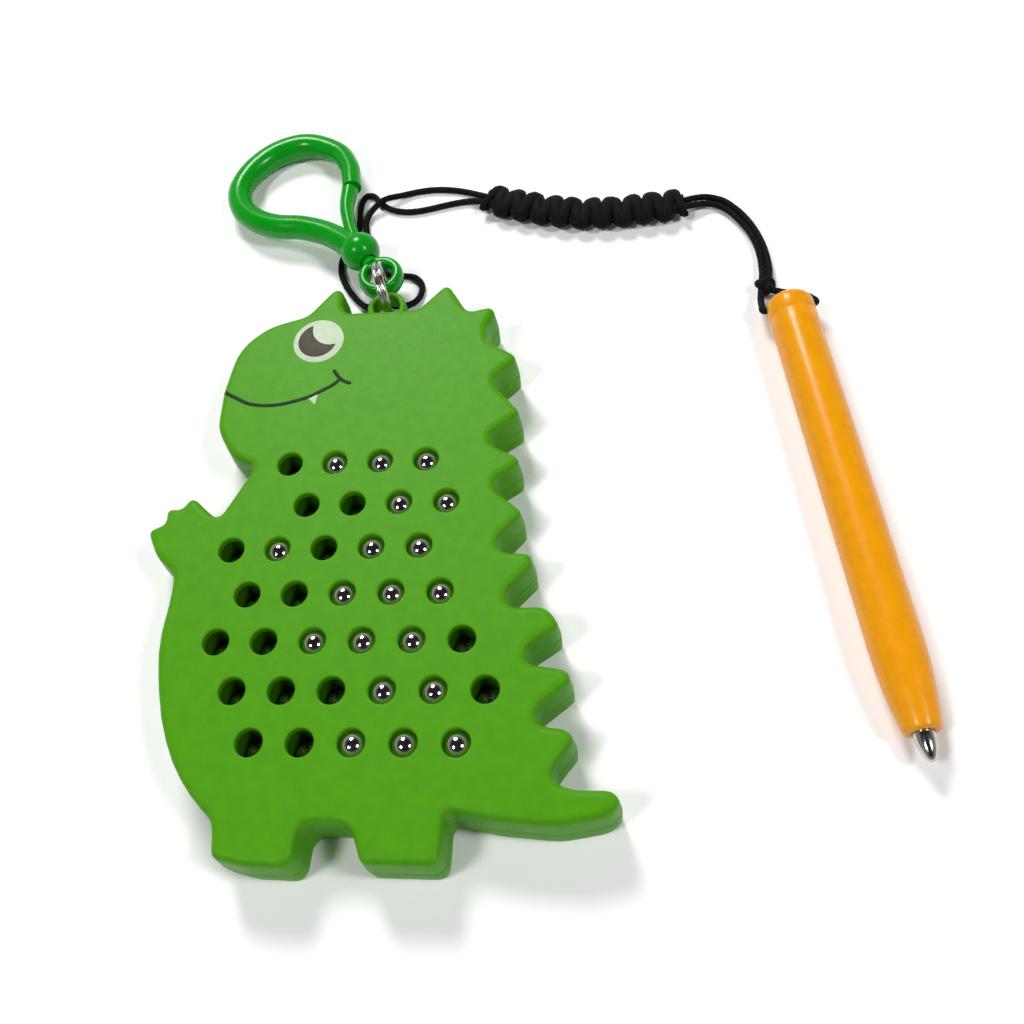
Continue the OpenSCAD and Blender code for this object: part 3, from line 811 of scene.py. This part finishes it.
class KEYCHAIN_OT_pen(Operator):
    """Builds the pen: cap with its cord hole, barrel and metal tip"""
    bl_idname = "keychain.pen"
    bl_label = "Pen"

    def execute(self, context):
        settings = context.scene.keychain_pen
        seam = settings.seam
        tip_low, tip_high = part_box("pen_tip")
        hole_at = Vector(JOINTS["pen_lift"]["pos_m"])
        tip_at = (tip_low + tip_high) / 2
        ahead = Vector((tip_at.x - hole_at.x, tip_at.y - hole_at.y, 0)).normalized()
        hole = 2.6 * MM
        start = hole_at - ahead * hole
        side = Vector((-ahead.y, ahead.x, 0))
        place = Matrix.Translation(start) @ Matrix((ahead, side, Vector((0, 0, 1)))).transposed().to_4x4()
        yellow = shared_material("Pen_Plastic", moulded_plastic, tuple(settings.plastic), 0.26, 0.36, 1500,
                                 0.00003, coat=0.15)
        steel = shared_material("Tip_Steel", polished_steel, tuple(settings.steel), 0.1, 0.2)
        r, cap, barrel_end, total = 4.25 * MM, 5 * MM, 81.2 * MM, 85.6 * MM

        verts, faces = turned(dome(0, 0.02 * MM, 2.8 * MM, r, 18) + [
            (cap - 0.2 * MM, r), (cap - 0.08 * MM, r - 0.4 * seam), (cap, r - seam)], 96)
        cap_piece = add_mesh("Pen_Cap", placed(verts, place), faces)
        self.cross_hole(cap_piece, place, hole, 0.9 * MM)
        finish_piece(cap_piece, yellow, "pen", ["pen_cap"])

        taper, mouth = 15 * MM, 2.8 * MM
        body = [(cap, r - seam), (cap + 0.08 * MM, r - 0.4 * seam), (cap + 0.2 * MM, r)]
        body += [(x * MM, r) for x in np.arange(8, 66, 3)]
        for k in range(1, 17):
            share = k / 16
            body.append((barrel_end - taper + (taper - 0.4 * MM) * share,
                         r - (r - mouth - 0.1 * MM) * share ** 2.1))
        body += [(barrel_end - 0.15 * MM, mouth - 0.02 * MM), (barrel_end - 0.02 * MM, mouth - 0.25 * MM),
                 (barrel_end, mouth - 0.6 * MM), (barrel_end, 1.72 * MM), (barrel_end - 1.2 * MM, 1.7 * MM)]
        verts, faces = turned(body, 96)
        finish_piece(add_mesh("Pen_Barrel", placed(verts, place), faces), yellow, "pen",
                     ["pen_barrel"])

        tip_r, collar = 1.62 * MM, 0.6 * MM
        point = [(barrel_end - 1 * MM, tip_r), (barrel_end + collar, tip_r)]
        for k in range(1, 15):
            share = k / 14
            point.append((barrel_end + collar + (total - barrel_end - collar) * share ** 0.9,
                          tip_r * math.sqrt(max(0.0005, 1 - share ** 1.55))))
        verts, faces = turned(point, 64)
        finish_piece(add_mesh("Pen_Tip", placed(verts, place), faces), steel, "pen", ["pen_tip"])
        return {"FINISHED"}

    @staticmethod
    def cross_hole(cap, place, along, radius):
        """Cuts the cord's hole across the cap."""
        verts, faces = turned([(-6 * MM, radius), (6 * MM, radius)], 32)
        cutter = add_mesh("Cutter", placed(verts, place @ Matrix.Translation((along, 0, 0))
                                           @ Matrix.Rotation(math.radians(90), 4, "Z")), faces)
        cut = cap.modifiers.new("Hole", "BOOLEAN")
        cut.operation = "DIFFERENCE"
        cut.solver = "EXACT"
        cut.object = cutter
        shaped = bpy.data.meshes.new_from_object(cap.evaluated_get(bpy.context.evaluated_depsgraph_get()))
        cap.modifiers.clear()
        cap.data = shaped
        bpy.data.objects.remove(cutter)
        shaped.polygons.foreach_set("use_smooth", [True] * len(shaped.polygons))
        shaped.set_sharp_from_angle(angle=math.radians(40))


# ---------------------------------------------------------------- cords

LOW = 0.00065
LOOP_LEFT = [
    (0.0042, 0.0641, 0.0022), (0.0022, 0.0641, 0.002), (0.0003, 0.0645, 0.0014), (-0.0014, 0.0656, 0.0008),
    (-0.003, 0.0673, LOW), (-0.0046, 0.0695, LOW), (-0.0059, 0.0718, LOW), (-0.0068, 0.0742, LOW),
    (-0.0071, 0.0768, LOW), (-0.0066, 0.0795, LOW), (-0.0056, 0.0822, LOW), (-0.0047, 0.0848, LOW),
    (-0.0044, 0.0874, LOW), (-0.0045, 0.09, LOW), (-0.0044, 0.0926, LOW), (-0.0036, 0.0946, LOW),
    (-0.002, 0.0945, LOW), (-0.0008, 0.093, LOW), (0.0003, 0.0918, LOW), (0.0022, 0.0904, LOW),
    (0.0048, 0.0896, LOW), (0.0076, 0.0895, LOW), (0.0104, 0.0899, LOW), (0.0132, 0.0905, LOW),
    (0.016, 0.091, LOW), (0.0188, 0.0911, 0.0008), (0.021, 0.0904, 0.0013), (0.0226, 0.0895, 0.0019)]
LOOP_RIGHT = [
    (0.0042, 0.0641, 0.0022), (0.0062, 0.064, 0.002), (0.0078, 0.0646, 0.0014), (0.0092, 0.0659, 0.0008),
    (0.0101, 0.0678, LOW), (0.01, 0.0701, LOW), (0.0086, 0.0719, LOW), (0.0064, 0.0725, LOW),
    (0.004, 0.0728, LOW), (0.0019, 0.0743, LOW), (0.0003, 0.0768, LOW), (-0.0008, 0.0796, LOW),
    (-0.0018, 0.0824, LOW), (-0.0027, 0.0851, LOW), (-0.0029, 0.0874, 0.0008), (-0.0022, 0.0893, 0.0012),
    (-0.001, 0.0907, 0.0017), (0.0003, 0.0918, 0.002), (0.0017, 0.0928, 0.0017), (0.0042, 0.0939, 0.001),
    (0.007, 0.0948, LOW), (0.0098, 0.0951, LOW), (0.0126, 0.095, LOW), (0.0154, 0.0945, LOW),
    (0.0181, 0.0937, LOW), (0.0205, 0.0924, 0.0011), (0.0226, 0.0909, 0.0019)]
LEAD_LEFT = [
    (0.0619, 0.0842, 0.0022), (0.064, 0.085, 0.0018), (0.0664, 0.0856, 0.0012), (0.0688, 0.0849, 0.001),
    (0.0709, 0.0829, 0.001), (0.0726, 0.0804, 0.001), (0.074, 0.0777, 0.001), (0.075, 0.0747, 0.001),
    (0.0755, 0.0716, 0.001), (0.0756, 0.0684, 0.0012), (0.0754, 0.0655, 0.0017), (0.075, 0.0626, 0.002),
    (0.0747, 0.06, 0.0026), (0.0747, 0.0577, 0.0036), (0.0751, 0.0563, 0.0042)]
LEAD_RIGHT = [
    (0.0619, 0.0859, 0.0022), (0.0639, 0.0867, 0.0018), (0.0664, 0.0873, 0.0012), (0.0694, 0.0863, 0.001),
    (0.0716, 0.0841, 0.001), (0.0735, 0.0814, 0.001), (0.075, 0.0783, 0.001), (0.0761, 0.0749, 0.001),
    (0.0767, 0.0716, 0.001), (0.0769, 0.0684, 0.0012), (0.0767, 0.0655, 0.0017), (0.0768, 0.0629, 0.002),
    (0.0791, 0.0617, 0.0023), (0.0819, 0.0606, 0.003), (0.0836, 0.0589, 0.0038), (0.0839, 0.0575, 0.0042)]
BRAID = [
    (0.0226, 0.0902, 0.0023), (0.0264, 0.0886, 0.0023), (0.0333, 0.0863, 0.0023), (0.0414, 0.0844, 0.0023),
    (0.0493, 0.0841, 0.0023), (0.0572, 0.0847, 0.0023), (0.0619, 0.08505, 0.0023)]


def yarn_material():
    return shared_material("Cord_Yarn", braided_yarn, tuple(bpy.context.scene.keychain_cords.yarn))


def ribbed(depth, ribs, twist):
    """Ring scaling for a braided sleeve: two sets of ribs that cross."""
    def swell(count, angle):
        along = np.arange(count)[:, None] * twist
        return 1 - depth / 2 + depth / 2 * np.cos(ribs * angle + along) * np.cos(ribs * angle - along)
    return swell


def cord_piece(name, route, settings):
    """A braided round cord along a route, and the path it follows."""
    path = even_curve(route, 0.22 * MM)
    r = settings.diameter / 2
    verts, faces = sweep(path, [(r, r)] * len(path), 20, swell=ribbed(settings.rib, 4, 0.55))
    cord = add_mesh(name, verts, faces, 60)
    return cord, path[::6].tolist() + [path[-1].tolist()]


class KEYCHAIN_OT_loop_cord(Operator):
    """Lays the two legs of the cord that loops through the split ring"""
    bl_idname = "keychain.loop_cord"
    bl_label = "Loop Cord"

    def execute(self, context):
        settings = context.scene.keychain_cords
        legs = (("Loop_Cord_Left", LOOP_LEFT, "loop_cord_left", 0.066, ["Braid_Strand_A", "Braid_Core"]),
                ("Loop_Cord_Right", LOOP_RIGHT, "loop_cord_right", 0.064, ["Braid_Strand_B"]))
        for name, route, node, cord_length, ends in legs:
            cord, path = cord_piece(name, route, settings)
            finish_piece(cord, yarn_material(), "board", [node])
        return {"FINISHED"}


class KEYCHAIN_OT_braid(Operator):
    """Knots the braid: two strands that wrap a core and cross on its face and back"""
    bl_idname = "keychain.braid"
    bl_label = "Braid"

    KNOTS = 10

    def execute(self, context):
        path = even_curve(BRAID, 0.25 * MM)
        ahead = unit(np.gradient(path, axis=0))
        across = np.cross(ahead, (0, 0, 1))
        up = np.array([0, 0, 1.0])
        share = np.linspace(0, 1, len(path))
        phase = math.pi * self.KNOTS * share
        # The braid's half width and half height, in millimetres
        wide, high = 2.85, 1.2
        for name, hand in (("Braid_Strand_A", 1), ("Braid_Strand_B", -1)):
            turn = 2 * phase * hand
            # Each strand goes over the other on one crossing and under it on the next
            lift = (1.22 + 0.3 * hand * np.sin(phase)) * MM
            line = path + across * (wide * MM * np.cos(turn))[:, None] + up * (lift * np.sin(turn))[:, None]
            outward = across * (np.cos(turn) / wide)[:, None] + up * (np.sin(turn) / high)[:, None]
            taper = np.clip(np.minimum(np.arange(len(path)), np.arange(len(path))[::-1]) / 8, 0.45, 1)
            sizes = np.stack([1.42 * taper, 0.92 * taper], 1) * MM
            verts, faces = sweep(line, sizes, 24, up=outward, swell=ribbed(0.12, 5, 0.5),
                                 rounded=(True, True))
            verts[:, 2] = np.maximum(verts[:, 2], 0.02 * MM)
            strand = add_mesh(name, verts, faces, 60)
            finish_piece(strand, yarn_material(), "board", ["braid"] if hand > 0 else ())
        core = []
        for shift in (-0.95, 0.95):
            line = path + across * shift * MM
            core.append(sweep(line, [(1.15 * MM, 1.2 * MM)] * len(path), 16, swell=ribbed(0.08, 4, 0.5)))
        finish_piece(add_mesh("Braid_Core", *merged(core), 60), yarn_material(), "board")
        return {"FINISHED"}


class KEYCHAIN_OT_lead_cord(Operator):
    """Lays the doubled cord from the braid to the pen, with its knot"""
    bl_idname = "keychain.lead_cord"
    bl_label = "Lead Cord"

    def execute(self, context):
        settings = context.scene.keychain_cords
        low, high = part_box("pen_knot")
        knot = self.knot((low + high) / 2)
        middle = Vector(JOINTS["pen_lift"]["pos_m"])
        for name, route, node, cord_length, pieces in (
                ("Lead_Cord_Left", LEAD_LEFT, "lead_cord_left", 0.043, [knot]),
                ("Lead_Cord_Right", LEAD_RIGHT, "lead_cord_right", 0.0475, [])):
            into_hole = [tuple(middle)]
            cord, path = cord_piece(name, route + into_hole, settings)
            finish_piece(cord, yarn_material(), "board", [node])
        return {"FINISHED"}

    @staticmethod
    def knot(at):
        """A small overhand knot pulled tight round the doubled cord."""
        t = np.linspace(0, 2 * math.pi, 181)
        size = 0.42 * MM
        path = np.stack([(np.sin(t) + 2 * np.sin(2 * t)) * size, (np.cos(t) - 2 * np.cos(2 * t)) * size,
                         -np.sin(3 * t) * size * 1.5], 1) + np.array(at)
        verts, faces = sweep(path, [(0.85 * MM, 0.85 * MM)] * len(path), 20, up=(0.05, 0.02, 1),
                             swell=ribbed(0.08, 4, 0.6))
        verts[:, 2] = np.maximum(verts[:, 2], 0.02 * MM)
        knot = add_mesh("Pen_Knot", verts, faces, 60)
        return finish_piece(knot, yarn_material(), "board", ["pen_knot"])


# ---------------------------------------------------------------- stage

class KEYCHAIN_OT_stage(Operator):
    """Sets the floor, the lights and the camera"""
    bl_idname = "keychain.stage"
    bl_label = "Stage"

    def execute(self, context):
        settings = context.scene.keychain_stage
        self.camera(context)
        self.floor(settings)
        self.light("Key_Light", (-0.22, 0.68, 0.76), 0.34, settings.key_power)
        self.light("Right_Light", (0.58, -0.11, 0.72), 0.2, settings.fill_power)
        self.light("Front_Light", (-0.36, -0.29, 0.8), 0.2, settings.fill_power)
        self.sky(context, settings.sky)
        context.scene.view_settings.view_transform = "Standard"
        return {"FINISHED"}

    @staticmethod
    def sky(context, brightness):
        """Surroundings pale near the horizon and dark overhead, so that steel shows a dark centre."""
        world = bpy.data.worlds.new("Studio")
        world.use_nodes = True
        nodes, links = world.node_tree.nodes, world.node_tree.links
        where = nodes.new("ShaderNodeTexCoord")
        split = nodes.new("ShaderNodeSeparateXYZ")
        ramp = nodes.new("ShaderNodeValToRGB")
        steps = ramp.color_ramp.elements
        steps[0].position = 0.3
        steps[0].color = (1, 1, 1, 1)
        steps[1].position = 0.72
        steps[1].color = (0.05, 0.05, 0.05, 1)
        links.new(where.outputs["Generated"], split.inputs["Vector"])
        links.new(split.outputs["Z"], ramp.inputs["Fac"])
        links.new(ramp.outputs["Color"], nodes["Background"].inputs["Color"])
        nodes["Background"].inputs["Strength"].default_value = brightness
        context.scene.world = world

    @staticmethod
    def camera(context):
        data = bpy.data.cameras.new("Camera")
        data.lens = 42.38
        data.sensor_width = 36
        data.shift_x = 0.0377
        data.shift_y = -0.103
        data.clip_start = 0.01
        camera = bpy.data.objects.new("Camera", data)
        camera.location = (0.05704, -0.07764, 0.18396)
        camera.rotation_euler = [math.radians(a) for a in (32.896, 9.093, 2.828)]
        context.scene.collection.objects.link(camera)
        context.scene.camera = camera

    @staticmethod
    def floor(settings):
        paper, nodes, links, shader = new_material("Paper", tuple(settings.floor), 0.85)
        bumped(nodes, links, shader, noise(nodes, links, 900, 2), 0.00002, 0.1)
        half = 1.5
        floor = add_mesh("Floor", [(-half, -half, 0), (half, -half, 0), (half, half, 0), (-half, half, 0)],
                         [(0, 1, 2, 3)])
        floor.location.z = -0.02 * MM
        floor.data.materials.append(paper)

    @staticmethod
    def light(name, at, size, power):
        data = bpy.data.lights.new(name, "AREA")
        data.shape = "DISK"
        data.size = size
        data.energy = power
        light = bpy.data.objects.new(name, data)
        light.location = at
        light.rotation_euler = (Vector((0.02, 0.02, 0)) - Vector(at)).to_track_quat("-Z", "Y").to_euler()
        bpy.context.scene.collection.objects.link(light)


OPERATORS = (KEYCHAIN_OT_stage, KEYCHAIN_OT_braid, KEYCHAIN_OT_loop_cord, KEYCHAIN_OT_lead_cord,
             KEYCHAIN_OT_board, KEYCHAIN_OT_face_print, KEYCHAIN_OT_balls, KEYCHAIN_OT_inner_parts,
             KEYCHAIN_OT_split_ring, KEYCHAIN_OT_clip, KEYCHAIN_OT_pen)
SETTINGS = (("keychain_board", BoardSettings), ("keychain_print", PrintSettings),
            ("keychain_balls", BallSettings), ("keychain_clip", ClipSettings), ("keychain_pen", PenSettings),
            ("keychain_cords", CordSettings), ("keychain_stage", StageSettings))


class KEYCHAIN_PT_panel(Panel):
    """The keychain's settings and pieces"""
    bl_idname = "KEYCHAIN_PT_panel"
    bl_label = "Drawing-Board Keychain"
    bl_space_type = "VIEW_3D"
    bl_region_type = "UI"
    bl_category = "Keychain"

    def draw(self, context):
        for name, group in SETTINGS:
            box = self.layout.box()
            for field in group.__annotations__:
                box.prop(getattr(context.scene, name), field)
        for operator in OPERATORS:
            self.layout.operator(operator.bl_idname)


def register():
    for _, group in SETTINGS:
        bpy.utils.register_class(group)
    for name, group in SETTINGS:
        setattr(bpy.types.Scene, name, PointerProperty(type=group))
    for item in (*OPERATORS, KEYCHAIN_PT_panel):
        bpy.utils.register_class(item)


def unregister():
    for item in (KEYCHAIN_PT_panel, *OPERATORS[::-1]):
        bpy.utils.unregister_class(item)
    for name, group in SETTINGS[::-1]:
        delattr(bpy.types.Scene, name)
        bpy.utils.unregister_class(group)


def main():
    register()
    for operator in OPERATORS:
        group, action = operator.bl_idname.split(".")
        getattr(getattr(bpy.ops, group), action)()


if __name__ == "__main__":
    main()
